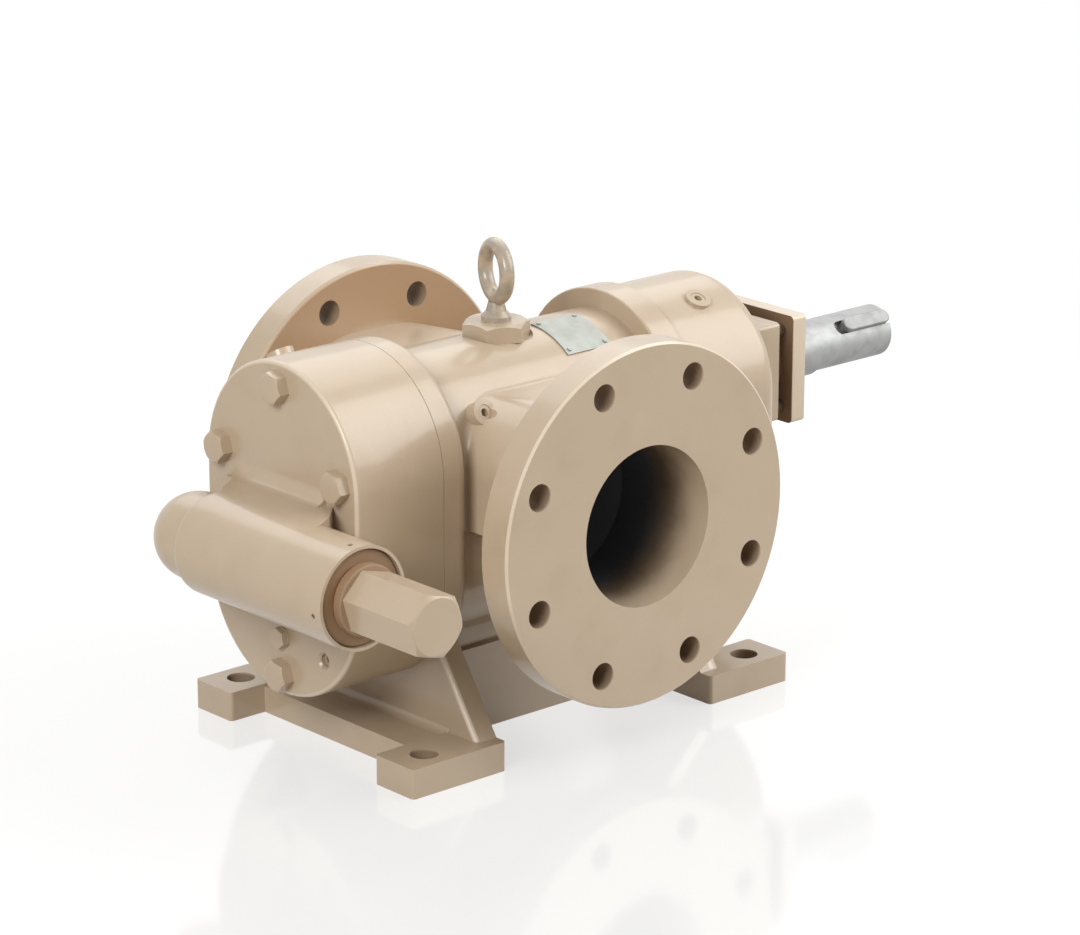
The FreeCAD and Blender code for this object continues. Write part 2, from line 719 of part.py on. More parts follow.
def shaft(height, body, key_angle):
    """Cuts the retaining ring grooves and the gear key seat, and lifts the shaft to its height."""
    cuts = []
    for x in circlip_places():
        cuts.append(ring("x", shaft_r + 1, shaft_r - circlip_depth, x, x + circlip_width))
    seat = gear_key(0, 0)
    seat.rotate(V(0, 0, 0), V(1, 0, 0), key_angle)
    cuts.append(seat)
    body = body.cut(Part.Compound(cuts))
    body.translate(V(0, 0, height))
    return body


def coupling_end():
    """Turns parts drawn on the +Y side to the keyway's angle."""
    return 180 - keyway_angle


def drive_shaft():
    """Stepped shaft with an open keyway in the coupling end."""
    x0, x1 = -journal_reach, shaft_end_x
    body = shaft_body(x0, shaft_step_x).fuse(turned("x", [
        (x0 + 5, 0), (x0 + 5, stub_r), (x1 - 1.5, stub_r), (x1, stub_r - 1.5), (x1, 0)]))
    start = x1 - keyway_length + key_width / 2
    slot = box(start, x1 + 1, key_floor, stub_r + 2, -key_width / 2, key_width / 2)
    slot = slot.fuse(rod("y", key_width / 2, key_floor, stub_r + 2, start, 0))
    slot.rotate(V(0, 0, 0), V(1, 0, 0), coupling_end())
    return shaft(shaft_height, body.cut(slot).removeSplitter(), 0)


def coupling_key():
    """Round-ended key that stands out of the coupling end."""
    x1 = shaft_end_x - 2.0 - key_width / 2
    x0 = x1 - coupling_key_length + key_width
    low, high = key_floor, key_floor + key_height
    bar = box(x0, x1, low, high, -key_width / 2, key_width / 2)
    ends = [rod("y", key_width / 2, low, high, x, 0) for x in (x0, x1)]
    key = fused([bar] + ends)
    rims = [e for e in key.Edges if abs(e.BoundBox.YMin - high) < 1e-4]
    key = key.makeChamfer(0.5, rims)
    key.rotate(V(0, 0, 0), V(1, 0, 0), coupling_end())
    key.translate(V(0, 0, shaft_height))
    return key


def circlip_places():
    return [gear_x0 + hub_recess - circlip_width, gear_x1 - hub_recess]


def circlips(height):
    """Two external retaining rings with a gap for the pliers."""
    rings = []
    for x in circlip_places():
        clip = ring("x", shaft_r + 3.2, shaft_r - circlip_depth, x, x + circlip_width, 0, height)
        gap = box(x - 1, x + 3, -2.5, 2.5, height, height + shaft_r + 6)
        rings.append(clip.cut(gap))
    return Part.Compound(rings)


def bush(x0, x1, height):
    inner = shaft_r + running_gap
    edge = 1.0
    return turned("x", [(x0, inner + edge), (x0 + edge, inner), (x1 - edge, inner), (x1, inner + edge),
                        (x1, bush_radius), (x0, bush_radius)], 0, height)


def side_plate_solid(x0):
    plate = figure_eight(chamber_radius - running_gap, x0, x0 + side_plate)
    holes = []
    for z in (shaft_height, low_shaft_z):
        holes.append(rod("x", shaft_r + free_gap, x0 - 1, x0 + side_plate + 1, 0, z))
    return plate.cut(Part.Compound(holes))


# Shaft seal
def gland_screw_places():
    s = gland_screw_offset
    return [(y, shaft_height + z) for y in (-s, s) for z in (-s, s)]


def packing():
    """Square packing rings: one before the lantern ring, the rest behind it."""
    first = stuffing_x0
    behind = first + packing_width + lantern_length
    starts = [first] + [behind + packing_width * k for k in range(packing_rings)]
    inner = shaft_r + running_gap
    rings = [ring("x", packing_radius, inner, x, x + packing_width, 0, shaft_height) for x in starts]
    return Part.Compound(rings)


def lantern_ring():
    """H-section ring with radial holes, fed from the flush plug."""
    x0 = stuffing_x0 + packing_width
    x1 = x0 + lantern_length
    inner, outer = shaft_r + free_gap, packing_radius - running_gap
    groove = 3.0
    body = turned("x", [(x0, inner), (x1, inner), (x1, outer), (x1 - groove, outer),
                        (x1 - groove, outer - 2.5), (x0 + groove, outer - 2.5), (x0 + groove, outer),
                        (x0, outer)], 0, shaft_height)
    holes = []
    middle = V((x0 + x1) / 2, 0, shaft_height)
    for step in range(4):
        a = radians(90 * step + 45)
        holes.append(Part.makeCylinder(2.0, outer + 2, middle, V(0, cos(a), sin(a))))
    return body.cut(Part.Compound(holes))


def gland_follower():
    """Square plate with a round spigot that presses the packing."""
    x0, x1 = gland_x, gland_x + gland_plate
    plate = box(x0, x1, -gland_half, gland_half, shaft_height - gland_half, shaft_height + gland_half)
    corners = [e for e in plate.Edges if abs(e.BoundBox.XLength - gland_plate) < 1e-4]
    plate = plate.makeFillet(gland_corner, corners)
    spigot = rod("x", packing_radius - free_gap, packing_end_x, x0 + 1, 0, shaft_height)
    body = plate.fuse(spigot).removeSplitter()
    cuts = [rod("x", shaft_r + 0.5, packing_end_x - 1, x1 + 1, 0, shaft_height)]
    for y, z in gland_screw_places():
        cuts.append(rod("x", gland_screw_dia / 2, x0 - 1, x1 + 1, y, z))
        cuts.append(rod("x", gland_screw_head_r, x1 - gland_screw_head, x1 + 1, y, z))
    return body.cut(Part.Compound(cuts))


def socket_screw(axis, dia, head_r, head, x_seat, tip, u, v, way=1):
    """Socket head screw; the head stands on x_seat towards way, the tip is the other end."""
    top = x_seat + way * head
    outline = [(tip, 0), (tip, dia / 2 - 1), (tip + way, dia / 2), (x_seat, dia / 2), (x_seat, head_r),
               (top - way, head_r), (top, head_r - 1), (top, 0)]
    body = turned(axis, outline, u, v)
    ends = sorted((x_seat + way * head * 0.45, x_seat + way * (head + 1)))
    return body.cut(hexagon(axis, dia * 0.8, ends[0], ends[1], u, v))


def gland_screws():
    seat = gland_x + gland_plate - gland_screw_head
    tip = box_face_x - gland_screw_reach + gland_travel + 3
    dia, head_r, head = gland_screw_dia, gland_screw_head_r, gland_screw_head
    screws = [socket_screw("x", dia, head_r, head, seat, tip, y, z) for y, z in gland_screw_places()]
    return Part.Compound(screws)


# Fasteners and plugs
def hex_bolt(x_seat, tip, y, z):
    """Hexagon head bolt through the front cover, head towards -X."""
    head = hexagon("x", bolt_head_flats, x_seat - bolt_head_height, x_seat, y, z, crown=-1, turn=12)
    r = bolt_dia / 2
    shank = turned("x", [(x_seat - 1, 0), (x_seat - 1, r), (tip - 1.5, r), (tip, r - 1.5), (tip, 0)], y, z)
    return head.fuse(shank).removeSplitter()


def front_cover_bolts():
    return Part.Compound([hex_bolt(front_face_x, core_front_x - 4, y, z) for y, z in front_bolts()])


def rear_cover_screws():
    seat = rear_face_x - socket_depth
    return Part.Compound([socket_screw("x", bolt_dia, socket_head_r, 12.0, seat, core_rear_x + 4, y, z)
                          for y, z in rear_bolts()])


def dowels():
    pins = []
    for joint, way in ((front_joint_x, 1), (rear_joint_x, -1)):
        for y, z in dowel_places:
            pins.append(rod("x", dowel_r, joint - 11, joint + 11, y, z))
    return Part.Compound(pins)


def pipe_plug(x, angle, seat_r, side=-1):
    """Socket pipe plug screwed into a radial boss."""
    plug = radial_rod(gauge_plug_r, x, angle, seat_r - 9, seat_r - 0.5, side)
    return plug.cut(radial_rod(2.6, x, angle, seat_r - 5, seat_r + 1, side))


def drain_plug():
    """Small hexagon plug low on the front cover."""
    head = hexagon("x", 12.0, front_face_x - 5.5, front_face_x - 1.5, 0, drain_z, crown=-1, turn=20)
    collar = rod("x", 6.8, front_face_x - 1.5, front_face_x, 0, drain_z)
    stem = rod("x", 4.0, front_face_x - 2, front_face_x + 12, 0, drain_z)
    return fused([head, collar, stem])


def jack_screw():
    """Set screw in the jacking hole of the front cover, sunk below the face."""
    x0 = front_face_x + 4
    screw = rod("x", 4.0, x0, x0 + 16, jack_y, jack_z)
    return screw.cut(hexagon("x", 4.0, x0 - 1, x0 + 5, jack_y, jack_z))


# Relief valve inside the barrel
def about_valve(outline):
    return turned("y", outline, barrel_x, barrel_z)


def valve_seat():
    r = valve_bore_radius
    inner = seat_hole_radius
    return about_valve([(seat_y, inner + 3), (seat_y + 3, inner), (seat_y + seat_length, inner),
                        (seat_y + seat_length, r), (seat_y, r)])


def valve_poppet():
    """Cup-shaped piston with a cone nose; four flats let the oil past."""
    y0 = seat_y - free_gap
    r = valve_bore_radius - running_gap
    wall = poppet_wall
    nose = seat_hole_radius - 1.5
    end = y0 - poppet_length
    body = about_valve([(end, r), (y0, r), (y0, seat_hole_radius + 2.6), (y0 + poppet_nose, nose - 1),
                        (y0 + poppet_nose, 0), (y0 - 7, 0), (y0 - 7, r - wall), (end, r - wall)])
    cuts = []
    for step in range(4):
        flat = box(barrel_x + r - 1.6, barrel_x + r + 2, y0 - poppet_length - 1, y0 + 1,
                   barrel_z - 10, barrel_z + 10)
        flat.rotate(V(barrel_x, 0, barrel_z), V(0, 1, 0), 45 + 90 * step)
        cuts.append(flat)
    return body.cut(Part.Compound(cuts))


def relief_spring():
    """Round-wire compression spring between the poppet and its adjusting disc."""
    length = spring_y1 - spring_y0 - spring_wire - 2 * running_gap
    pitch = length / spring_turns
    helix = Part.makeHelix(pitch, length, spring_radius)
    wire = Part.Wire(helix.Edges)
    profile = Part.Wire(Part.makeCircle(spring_wire / 2, V(spring_radius, 0, 0), V(0, 1, 0)))
    coil = wire.makePipeShell([profile], True, True)
    coil.rotate(V(0, 0, 0), V(1, 0, 0), -90)
    coil.translate(V(barrel_x, spring_y0 + spring_wire / 2 + running_gap, barrel_z))
    return coil


def spring_seat():
    """Disc that the adjusting screw pushes; the spring sits on its step."""
    y0 = spring_y0 - spring_seat_thickness
    inner = spring_radius - spring_wire / 2 - 1
    rim = valve_bore_radius - free_gap
    return about_valve([(y0, 0), (y0, rim), (spring_y0, rim), (spring_y0, inner),
                        (spring_y0 + 5, inner - 1), (spring_y0 + 5, 0)])


def adjusting_bush():
    """Bonnet plug that closes the barrel; the adjusting screw runs through it, the cap screws onto it."""
    floor_y = barrel_face_y + recess_depth
    inner_y = barrel_face_y + bonnet_depth
    top_y = floor_y - bonnet_flange
    neck_y = top_y - bonnet_neck
    hole = screw_r + running_gap
    neck = cap_bore_r - running_gap
    rim = recess_radius - free_gap
    return about_valve([(inner_y, hole), (inner_y, bonnet_thread_r), (floor_y, bonnet_thread_r),
                        (floor_y, rim), (top_y + 1, rim), (top_y, rim - 1), (top_y, neck), (neck_y, neck),
                        (neck_y, hole)])


def adjusting_screw():
    """Threaded spindle with a hexagon socket at its outer end."""
    y1 = spring_y0 - spring_seat_thickness - free_gap
    y0 = cap_end_y + 16
    r = screw_r
    body = about_valve([(y0, 0), (y0, r - 1.5), (y0 + 1.5, r), (y1 - 3, r), (y1, r - 3), (y1, 0)])
    return body.cut(hexagon("y", 6.0, y0 - 1, y0 + 7, barrel_x, barrel_z))


def lock_nut():
    y1 = barrel_face_y + recess_depth - bonnet_flange - bonnet_neck
    nut = hexagon("y", nut_flats, y1 - nut_height, y1, barrel_x, barrel_z, crown=-1)
    return nut.cut(rod("y", screw_r + running_gap, y1 - nut_height - 1, y1 + 1, barrel_x, barrel_z))


def cap_gasket():
    floor_y = barrel_face_y + recess_depth - bonnet_flange
    return ring("y", cap_bore_r + 5.5, cap_bore_r + 0.2, floor_y - 2, floor_y, barrel_x, barrel_z)


def relief_cap():
    """Tall hexagon cap over the adjusting screw, with a round collar at its foot."""
    foot_y = barrel_face_y + recess_depth - bonnet_flange - 2
    body = hexagon("y", cap_flats, cap_end_y, foot_y - 2, barrel_x, barrel_z, turn=cap_turn, crown=-1)
    collar_r = cap_flats / 2 / cos(radians(30)) + 1.2
    collar = rod("y", collar_r, foot_y - 6, foot_y, barrel_x, barrel_z)
    outer = [e for e in collar.Edges if abs(e.BoundBox.YMax - foot_y + 6) < 1e-4]
    collar = collar.makeFillet(1.0, outer)
    bore = rod("y", cap_bore_r, cap_end_y + 9, foot_y + 1, barrel_x, barrel_z)
    return fused([body, collar]).cut(bore)


def lock_screws():
    screws = []
    for spot in lock_screw_spots(lock_screw_r, -0.8):
        screws.append(spot)
    return Part.Compound(screws)


# Lifting eye and rating plate
def lifting_plug():
    seat_z = eye_seat_z - lifting_plug_height
    head = hexagon("z", lifting_plug_flats, seat_z, eye_seat_z, eye_x, 0, turn=34, crown=1)
    thread = rod("z", lifting_thread_r, seat_z - lifting_thread_length + 1, seat_z + 1, eye_x, 0)
    hole = rod("z", eye_shank_r, seat_z - lifting_thread_length, eye_seat_z + 1, eye_x, 0)
    return fused([head, thread]).cut(hole)


def eye_bolt():
    """Forged lifting eye with its collar on the plug."""
    z = eye_seat_z
    ring_z = z + 10 + eye_ring_radius + eye_wire_radius
    r = eye_shank_r
    stem = turned("z", [(z - 20, 0), (z - 20, r - 1), (z - 19, r), (z, r), (z, 9.5), (z + 3, 9.5),
                        (z + 6, 6.5), (z + 12, 5.0), (z + 12, 0)], eye_x, 0)
    a = radians(eye_turn)
    eye = Part.makeTorus(eye_ring_radius, eye_wire_radius, V(eye_x, 0, ring_z), V(cos(a), sin(a), 0))
    return stem.fuse(eye).removeSplitter()


def plate_piece(x0, x1, angle0, angle1, r0, r1):
    """Patch of a tube round the drive axis; angles run up from the -Y side."""
    points = []
    for angle in (angle0, (angle0 + angle1) / 2, angle1):
        a = radians(angle)
        points.append([V(x0, -r * cos(a), shaft_height + r * sin(a)) for r in (r0, r1)])
    inner = Part.Arc(points[0][0], points[1][0], points[2][0]).toShape()
    outer = Part.Arc(points[0][1], points[1][1], points[2][1]).toShape()
    sides = [Part.makeLine(points[2][0], points[2][1]), Part.makeLine(points[0][0], points[0][1])]
    outline = Part.Wire([inner, sides[1], outer, sides[0]])
    return Part.Face(outline).extrude(V(x1 - x0, 0, 0))


def nameplate():
    inner = core_radius + plate_gap
    return plate_piece(plate_x0, plate_x1, plate_angle0, plate_angle1, inner, inner + plate_thickness)


def nameplate_pins():
    pins = []
    margin, tilt = 3.5, 3.5
    top = core_radius + plate_gap + plate_thickness
    for x in (plate_x0 + margin, plate_x1 - margin):
        for angle in (plate_angle0 + tilt, plate_angle1 - tilt):
            pins.append(radial_rod(1.5, x, angle, top, top + 0.9))
    return Part.Compound(pins)


def main():
    os.makedirs("parts", exist_ok=True)
    eight_front = figure_eight(chamber_radius, front_joint_x - 2, front_joint_x + 2)
    eight_rear = figure_eight(chamber_radius, rear_joint_x - 2, rear_joint_x + 2)
    save("pump_casing", pump_casing())
    save("front_cover", front_cover())
    save("rear_cover", rear_cover())
    save("front_gasket", gasket(front_cover_x0, cover_radius, eight_front, front_bolts()))
    save("rear_gasket", gasket(rear_joint_x, rear_cover_radius, eight_rear, rear_bolts()))
    save("front_side_plate", side_plate_solid(core_front_x))
    save("rear_side_plate", side_plate_solid(core_rear_x - side_plate))

    half_tooth = 180.0 / gear_teeth
    save("drive_gear", gear(shaft_height, 90, 0))
    save("driven_gear", gear(low_shaft_z, 90 + half_tooth, 0))
    save("drive_gear_key", gear_key(shaft_height, 0))
    save("driven_gear_key", gear_key(low_shaft_z, 0))
    save("drive_shaft", drive_shaft())
    save("coupling_key", coupling_key())
    low_shaft = shaft_body(-journal_reach, core_rear_x + rear_low_bush_length + 1)
    save("driven_shaft", shaft(low_shaft_z, low_shaft, 0))
    save("drive_circlips", circlips(shaft_height))
    save("driven_circlips", circlips(low_shaft_z))

    front_end = core_front_x - front_bush_length
    save("front_drive_bush", bush(front_end, core_front_x, shaft_height))
    save("front_driven_bush", bush(front_end, core_front_x, low_shaft_z))
    save("rear_drive_bush", bush(core_rear_x, core_rear_x + rear_bush_length, shaft_height))
    save("rear_driven_bush", bush(core_rear_x, core_rear_x + rear_low_bush_length, low_shaft_z))

    save("gland_packing", packing())
    save("lantern_ring", lantern_ring())
    save("gland_follower", gland_follower())
    save("gland_screws", gland_screws())
    save("front_cover_bolts", front_cover_bolts())
    save("rear_cover_screws", rear_cover_screws())
    save("dowel_pins", dowels())
    save("flush_plug", pipe_plug(flush_x, flush_angle, rear_cover_radius + 2))
    save("vent_plug", pipe_plug(vent_x, vent_angle, cover_radius + 4, side=1))
    save("gauge_plug", pipe_plug(gauge_x, gauge_angle, gauge_seat))
    save("drain_plug", drain_plug())
    save("jack_screw", jack_screw())

    save("valve_seat", valve_seat())
    save("valve_poppet", valve_poppet())
    save("relief_spring", relief_spring())
    save("spring_seat", spring_seat())
    save("adjusting_bush", adjusting_bush())
    save("adjusting_screw", adjusting_screw())
    save("lock_nut", lock_nut())
    save("cap_gasket", cap_gasket())
    save("relief_cap", relief_cap())
    save("bonnet_lock_screws", lock_screws())

    save("lifting_plug", lifting_plug())
    save("eye_bolt", eye_bolt())
    save("nameplate", nameplate())
    save("nameplate_pins", nameplate_pins())


main()
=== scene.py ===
# %% [markdown]
# # A gear pump in beige paint
#
# The CAD model of this pump already has every casting, gear, shaft and screw at its true size. This lesson gives it
# the looks of the real thing: thick satin paint over rough castings, a bright ground shaft, a worn lifting eye and a
# bare metal plate. The model is loaded first and stays where it is.

# %% Load the CAD model
import math

import bmesh
import bpy
from mathutils import Matrix, Vector


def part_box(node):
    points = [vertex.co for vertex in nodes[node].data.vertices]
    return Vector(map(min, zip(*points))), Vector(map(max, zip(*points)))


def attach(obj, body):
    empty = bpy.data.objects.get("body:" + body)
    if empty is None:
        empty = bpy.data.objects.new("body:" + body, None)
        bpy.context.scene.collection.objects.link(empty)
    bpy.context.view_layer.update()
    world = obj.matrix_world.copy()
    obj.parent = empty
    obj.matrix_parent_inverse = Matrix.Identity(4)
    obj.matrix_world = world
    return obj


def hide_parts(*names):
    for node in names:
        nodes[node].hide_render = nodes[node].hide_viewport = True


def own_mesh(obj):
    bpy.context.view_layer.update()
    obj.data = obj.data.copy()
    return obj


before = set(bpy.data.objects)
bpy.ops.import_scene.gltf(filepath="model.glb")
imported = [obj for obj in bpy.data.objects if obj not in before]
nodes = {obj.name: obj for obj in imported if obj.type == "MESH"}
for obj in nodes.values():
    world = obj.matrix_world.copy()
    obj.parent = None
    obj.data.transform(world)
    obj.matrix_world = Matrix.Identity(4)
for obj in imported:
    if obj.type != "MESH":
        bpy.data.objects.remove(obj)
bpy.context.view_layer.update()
MM = 0.001
print("CAD nodes:", len(nodes))

# %% [markdown]
# The pump is seen from the relief valve's side, a little from above, through a long lens. A long lens keeps the round
# flange from looking stretched. The camera's place was found by fitting a camera to the flange circles and the feet.

# %% Place the camera
eye_point = Vector((-1.65803, -1.89908, 0.93010))
heading, dip, lean = 0.729234, 0.299504, 0.001651
focal_pixels, frame_pixels = 4182.98, 1080
SENSOR_WIDTH = 36.0

ahead = Vector((math.sin(heading) * math.cos(dip), math.cos(heading) * math.cos(dip), -math.sin(dip)))
to_right = Vector((math.cos(heading), -math.sin(heading), 0.0))
upward = to_right.cross(ahead)
right_axis = to_right * math.cos(lean) + upward * math.sin(lean)
up_axis = upward * math.cos(lean) - to_right * math.sin(lean)

bpy.ops.object.camera_add(location=eye_point)
camera = bpy.context.object
camera.name = "studio_camera"
camera.rotation_euler = Matrix((right_axis, up_axis, -ahead)).transposed().to_euler()
camera.data.sensor_width = SENSOR_WIDTH
camera.data.lens = focal_pixels / frame_pixels * SENSOR_WIDTH
camera.data.clip_end = 50.0
bpy.context.scene.camera = camera
print("lens:", round(camera.data.lens, 1), "mm")

# %% [markdown]
# Shader maths gets long when every sum needs a node of its own. Two small classes make it short. A `Signal` is the
# output of a node and can be added, multiplied or subtracted like a number. A `Finish` is one material, with one
# method that adds any node, sets it up and feeds its sockets.

# %% Shader maths as plain expressions
class Signal:
    """The output of a shader node, for use in ordinary arithmetic."""

    def __init__(self, finish, socket):
        self.finish = finish
        self.socket = socket

    def maths(self, operation, first, second=None):
        fed = {0: first} if second is None else {0: first, 1: second}
        return self.finish.node("ShaderNodeMath", {"operation": operation}, fed)

    def __add__(self, other):
        return self.maths("ADD", self, other)

    def __radd__(self, other):
        return self.maths("ADD", other, self)

    def __sub__(self, other):
        return self.maths("SUBTRACT", self, other)

    def __rsub__(self, other):
        return self.maths("SUBTRACT", other, self)

    def __mul__(self, other):
        return self.maths("MULTIPLY", self, other)

    def __pow__(self, other):
        return self.maths("POWER", self, other)

    def __abs__(self):
        return self.maths("ABSOLUTE", self)

    def lower_of(self, other):
        return self.maths("MINIMUM", self, other)

    def higher_of(self, other):
        return self.maths("MAXIMUM", self, other)


class Finish:
    """One material. Node places are in metres, because Object coordinates are."""

    def __init__(self, name):
        self.material = bpy.data.materials.new(name)
        self.material.use_nodes = True
        self.tree = self.material.node_tree
        self.tree.nodes.clear()
        self.place = self.node("ShaderNodeTexCoord", result="Object")

    def node(self, kind, settings=None, sockets=None, result=0):
        """Adds a node, sets its own settings first, then feeds its sockets."""
        made = self.tree.nodes.new(kind)
        for name, value in (settings or {}).items():
            setattr(made, name, value)
        for key, value in (sockets or {}).items():
            if isinstance(value, Signal):
                self.tree.links.new(value.socket, made.inputs[key])
            else:
                made.inputs[key].default_value = value
        return Signal(self, made.outputs[result])

    def xyz(self):
        """The three coordinates of the place on the pump."""
        split = self.node("ShaderNodeSeparateXYZ", sockets={0: self.place}).socket.node
        return [Signal(self, output) for output in split.outputs]

    def noise(self, size, detail=2.0, roughness=0.5, stretch=None):
        """Cloudy pattern from 0 to 1 with blotches of this size; stretch squeezes it along the axes."""
        where = self.place
        if stretch:
            where = self.node("ShaderNodeMapping", {"vector_type": "POINT"}, {"Vector": where, "Scale": stretch})
        fed = {"Vector": where, "Scale": 1 / size, "Detail": detail, "Roughness": roughness}
        return self.node("ShaderNodeTexNoise", {"noise_dimensions": "3D"}, fed)

    def rise(self, value, low, high):
        """0 below low, 1 above high, smooth in between; with high below low it falls instead."""
        fed = {0: value, 1: low, 2: high}
        return self.node("ShaderNodeMapRange", {"interpolation_type": "SMOOTHSTEP"}, fed)

    def blend(self, share, below, above):
        """Colour between two colours."""
        fed = {0: share, 6: below, 7: above}
        return self.node("ShaderNodeMix", {"data_type": "RGBA"}, fed, result=2)

    def shade(self, colour, factor):
        """Colour made darker or lighter by a factor."""
        grey = self.node("ShaderNodeCombineColor", sockets={0: factor, 1: factor, 2: factor})
        fed = {0: 1.0, 6: colour, 7: grey}
        return self.node("ShaderNodeMix", {"data_type": "RGBA", "blend_type": "MULTIPLY"}, fed, result=2)

    def bumps(self, height, depth, under=None):
        """Normal of a rough surface; height runs from 0 to 1 and stands for this depth in metres."""
        fed = {"Height": height, "Distance": depth, "Strength": 1.0}
        if under is not None:
            fed["Normal"] = under
        return self.node("ShaderNodeBump", sockets=fed)

    def close(self, sockets):
        """Ends the material with a surface shader fed like this."""
        shader = self.node("ShaderNodeBsdfPrincipled", sockets=sockets)
        end = self.tree.nodes.new("ShaderNodeOutputMaterial")
        self.tree.links.new(shader.socket, end.inputs["Surface"])
        return self.material


def rgba(red, green, blue):
    """Colour as read off a screen, 0 to 255, as the shader wants it."""
    def linear(level):
        level /= 255
        return level / 12.92 if level <= 0.04045 else ((level + 0.055) / 1.055) ** 2.4
    return (linear(red), linear(green), linear(blue), 1.0)


# %% [markdown]
# The paint is one warm beige all over, sprayed on after assembly, so bolts, plugs and gasket edges carry it as well.
# Over a sand casting it shows a fine grain and slow swells; over turned steel it is smoother. Both share one recipe,
# with the size and depth of the grain, in metres, as its knobs. Where a tool or a hand has rubbed, the gloss changes
# more than the colour, so the roughness gets its own cloud. A thin clear coat gives the satin sheen.

# %% Mix the beige paint
PAINT = rgba(181, 163, 140)
PAINT_SHADE = rgba(167, 143, 115)
PAINT_PALE = rgba(194, 180, 161)
PRIMER = rgba(138, 134, 124)
CAST_GRAIN = (0.0022, 0.00005)
TURNED_GRAIN = (0.0012, 0.00001)
COAT = 0.35


def paint_layers(finish, grain_size, grain_depth):
    """Colour, roughness and normal of the sprayed paint."""
    cloud = finish.noise(0.045, 3.0)
    speckle = finish.noise(0.0010, 2.0, 0.6)
    shaded = finish.blend(finish.rise(finish.noise(0.030, 2.0), 0.45, 0.85) * 0.30, PAINT, PAINT_SHADE)
    mixed = finish.blend(finish.rise(cloud, 0.52, 0.85) * 0.35, shaded, PAINT_PALE)
    colour = finish.shade(mixed, 0.965 + speckle * 0.07)
    gloss = 0.27 + cloud * 0.12 + speckle * 0.05
    swell = finish.bumps(finish.noise(0.016, 2.0), grain_depth * 5)
    normal = finish.bumps(finish.noise(grain_size, 3.0, 0.6), grain_depth, swell)
    return colour, gloss, normal


def close_paint(finish, colour, gloss, normal, bare=None):
    """Ends a painted material; where bare rises to 1, the clear coat goes and the surface is dull."""
    coat = COAT
    if bare is not None:
        gloss = gloss + bare * 0.35
        coat = COAT - bare * COAT
    return finish.close({"Base Color": colour, "Roughness": gloss, "Normal": normal,
                         "Specular IOR Level": 0.5, "Coat Weight": coat, "Coat Roughness": 0.12})


def painted(name, wear=0.0):
    """Paint on turned or forged steel; wear lets a share of grey primer show through in patches."""
    finish = Finish(name)
    colour, gloss, normal = paint_layers(finish, *TURNED_GRAIN)
    if wear > 0.0:
        colour = finish.blend(finish.rise(finish.noise(0.007, 2.0), 0.30, 0.60) * wear, colour, PRIMER)
    return close_paint(finish, colour, gloss, normal)


turned_paint = painted("paint_on_turned_steel")
eye_paint = painted("worn_paint_on_eye", wear=0.6)

# %% [markdown]
# The casing is one node, but the paint isn't the same everywhere on it. Deep in the port bores the paint is darkened
# as painted shade, and the walls of the bolt holes are painted darker and dull. So the paint follows the place on the
# pump. For that it needs a few of the model's places and sizes, in metres.

# %% Note the places that the paint depends on
PORT_Z = 0.147
BORE_RADIUS = 0.0508
FLANGE_RADIUS = 0.1145
FLANGE_FACE = 0.142
FLANGE_BACK = 0.118
HOLE_RING = 0.09525
HOLE_RADIUS = 0.0087
NECK_REACH = 0.078
FOOT_HOLE = (0.135, 0.090)
FOOT_HOLE_RADIUS = 0.0090
FOOT_TOP = 0.019
WEB_FACE = 0.100
WEB_Y, WEB_SLOPE = 0.098, 0.667
COVER_FACE = 0.171
COVER_RADIUS = 0.0725
SHAFT_Z = (0.114, 0.180)
GLAND_BACK = 0.2282
CAP_RECESS = (-0.1262, -0.1245)
BONNET_RECESS = (-0.1300, -0.1250)

# %% [markdown]
# A mask is 1 where a colour shows and 0 elsewhere, and `rise` makes its soft limits, mostly less than a millimetre
# wide. In the bores the distance from the port's axis counts, and at the holes the distance from the nearest one.
# Folding the flange's circle into one eighth with absolute values lets one hole stand for all eight. The masks for
# the holes end at the flange's back, so that they leave the casing behind it alone.

# %% Mask the bores and the holes
def distance(across, up):
    return (across * across + up * up) ** 0.5


def bore_masks(finish, from_axis, depth):
    """Painted shade in the port bores: a brown band, and a darker part further in."""
    inside = finish.rise(from_axis, BORE_RADIUS + 0.6 * MM, BORE_RADIUS + 0.2 * MM)
    wavy_depth = depth + finish.noise(0.012, 2.0) * 0.010
    brown_shade = inside * finish.rise(wavy_depth, FLANGE_FACE - 6 * MM, FLANGE_FACE - 34 * MM)
    dark = inside * finish.rise(wavy_depth, FLANGE_FACE - 26 * MM, FLANGE_FACE - 52 * MM)
    return brown_shade, dark


def hole_mask(finish, x, height, depth, z):
    """The walls of the flange holes and of the foot holes."""
    wide = abs(x).higher_of(abs(height)) - HOLE_RING * math.cos(math.pi / 8)
    narrow = abs(x).lower_of(abs(height)) - HOLE_RING * math.sin(math.pi / 8)
    in_flange = finish.rise(distance(wide, narrow), HOLE_RADIUS + 0.5 * MM, HOLE_RADIUS + 0.2 * MM)
    in_flange = in_flange * finish.rise(depth, FLANGE_FACE - 0.2 * MM, FLANGE_FACE - 2 * MM)
    in_flange = in_flange * finish.rise(depth, FLANGE_BACK - 0.2 * MM, FLANGE_BACK + 0.2 * MM)
    from_foot = distance(abs(x) - FOOT_HOLE[0], depth - FOOT_HOLE[1])
    in_foot = finish.rise(from_foot, FOOT_HOLE_RADIUS + 0.5 * MM, FOOT_HOLE_RADIUS + 0.2 * MM)
    in_foot = in_foot * finish.rise(z, FOOT_TOP - 0.2 * MM, FOOT_TOP - 2 * MM)
    return in_flange.higher_of(in_foot)
